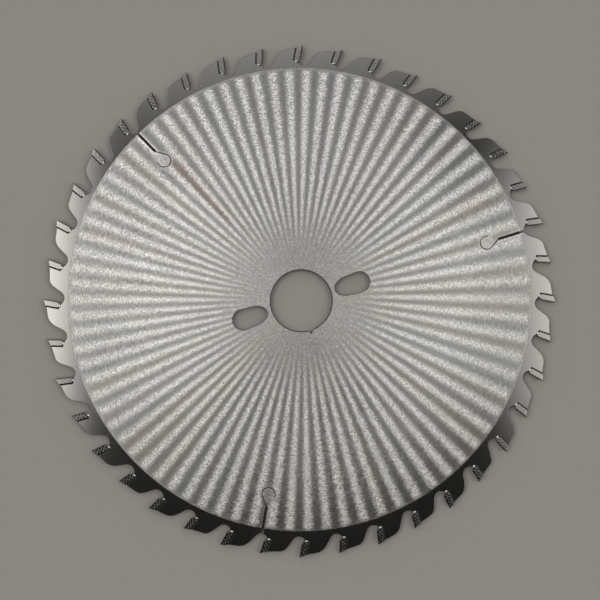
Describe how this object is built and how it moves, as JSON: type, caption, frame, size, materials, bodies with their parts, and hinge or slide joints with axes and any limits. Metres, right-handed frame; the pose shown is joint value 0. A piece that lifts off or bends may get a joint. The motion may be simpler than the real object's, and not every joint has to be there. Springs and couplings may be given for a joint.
{
  "type": "circular saw blade",
  "caption": "Flat circular saw blade for wood: a thin ground steel plate with a round bore, pin slots, hooked expansion slots and carbide tips brazed to hooked teeth.",
  "frame": {"origin": "centre of the arbor bore, halfway through the plate", "axes": "+Z along the bore, away from the face the blade lies on; +X along the line through the two pin slots, towards the gullet with the first expansion slot; seen from +Z the teeth cut clockwise"},
  "size_m": [0.25, 0.25, 0.0032],
  "materials": {
    "plate_steel": "ground in circles, with a polished rim outside the ground disc",
    "carbide": "tungsten carbide, finely ground on every face",
    "braze": "silver braze, smooth and slightly dull"
  },
  "bodies": {
    "root": {"saw_plate": "plate_steel", "tip_01": "carbide", "tip_02": "carbide", "tip_03": "carbide", "tip_04": "carbide", "tip_05": "carbide", "tip_06": "carbide", "tip_07": "carbide", "tip_08": "carbide", "tip_09": "carbide", "tip_10": "carbide", "tip_11": "carbide", "tip_12": "carbide", "tip_13": "carbide", "tip_14": "carbide", "tip_15": "carbide", "tip_16": "carbide", "tip_17": "carbide", "tip_18": "carbide", "tip_19": "carbide", "tip_20": "carbide", "tip_21": "carbide", "tip_22": "carbide", "tip_23": "carbide", "tip_24": "carbide", "tip_25": "carbide", "tip_26": "carbide", "tip_27": "carbide", "tip_28": "carbide", "tip_29": "carbide", "tip_30": "carbide", "tip_31": "carbide", "tip_32": "carbide", "tip_33": "carbide", "tip_34": "carbide", "tip_35": "carbide", "tip_36": "carbide", "tip_37": "carbide", "tip_38": "carbide", "tip_39": "carbide", "tip_40": "carbide", "braze_joints": "braze"}
  },
  "joints": []
}
